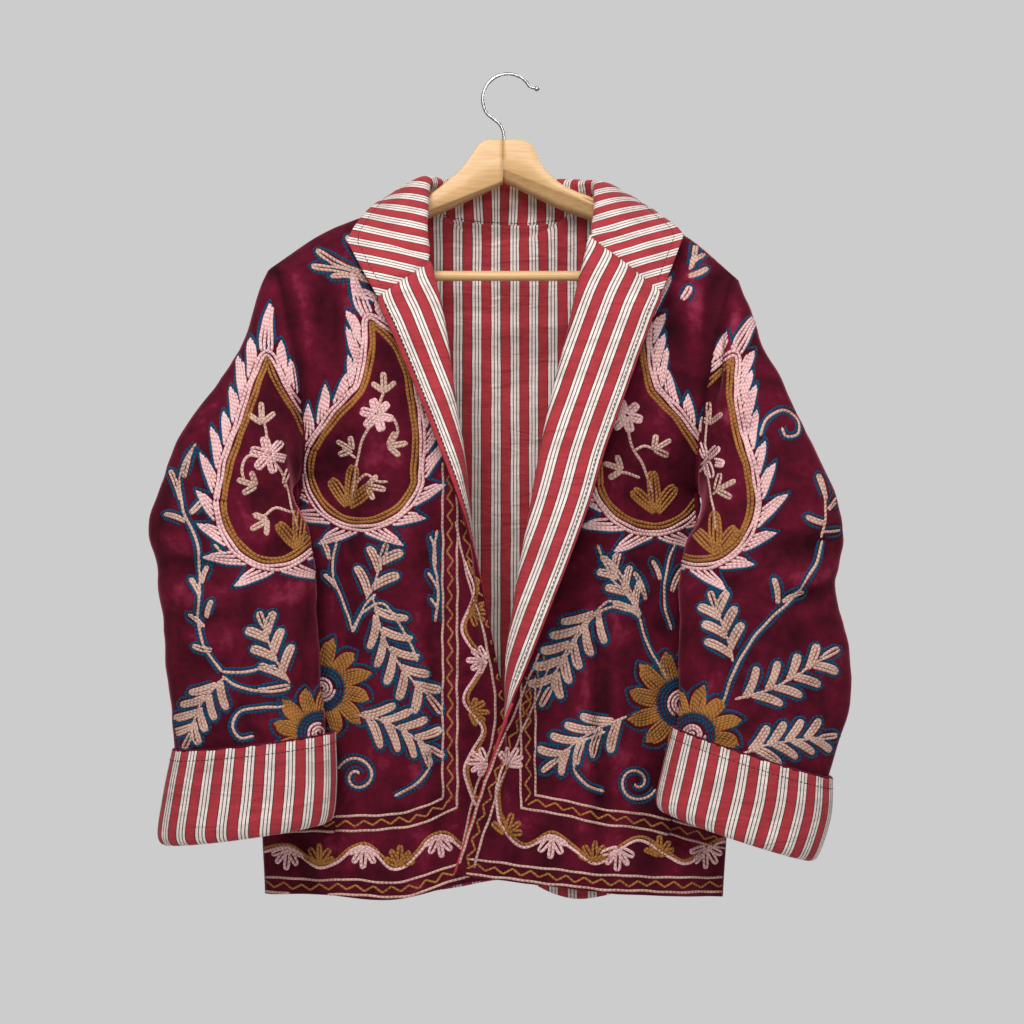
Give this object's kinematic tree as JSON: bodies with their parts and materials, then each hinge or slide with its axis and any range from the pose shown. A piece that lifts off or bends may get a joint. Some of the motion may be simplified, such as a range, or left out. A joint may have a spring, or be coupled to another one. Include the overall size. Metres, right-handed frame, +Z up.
{
  "type": "suzani jacket on a wooden hanger",
  "caption": "Long velvet jacket with embroidered flowers and paisleys, open at the front, with a striped lining that shows on its lapels, collar and turned-back cuffs, on a wooden hanger.",
  "frame": {"origin": "inside top of the hanger's hook, where it rests on the rail", "axes": "+Z up, +X to the viewer's right as the jacket is seen from its front (the wearer's left), -Y out of the front towards the viewer"},
  "size_m": [0.6896, 0.1972, 0.8484],
  "materials": {
    "velvet": "cotton velvet, burgundy, with a short mottled nap and chain-stitch embroidery",
    "lining": "plain woven cotton with red, white and dark stripes",
    "beech": "pale beech, thinly varnished",
    "hook_steel": "bright plated steel wire"
  },
  "bodies": {
    "root": {"back": "velvet", "front_right": "velvet", "front_left": "velvet", "sleeve_right": "velvet", "sleeve_left": "velvet", "collar_under": "velvet", "back_lining": "lining", "front_lining_right": "lining", "front_lining_left": "lining", "sleeve_lining_right": "lining", "sleeve_lining_left": "lining", "collar_upper": "lining", "hanger_arm_right": "beech", "hanger_arm_left": "beech", "hanger_bar": "beech", "hanger_hook": "hook_steel"}
  },
  "joints": []
}
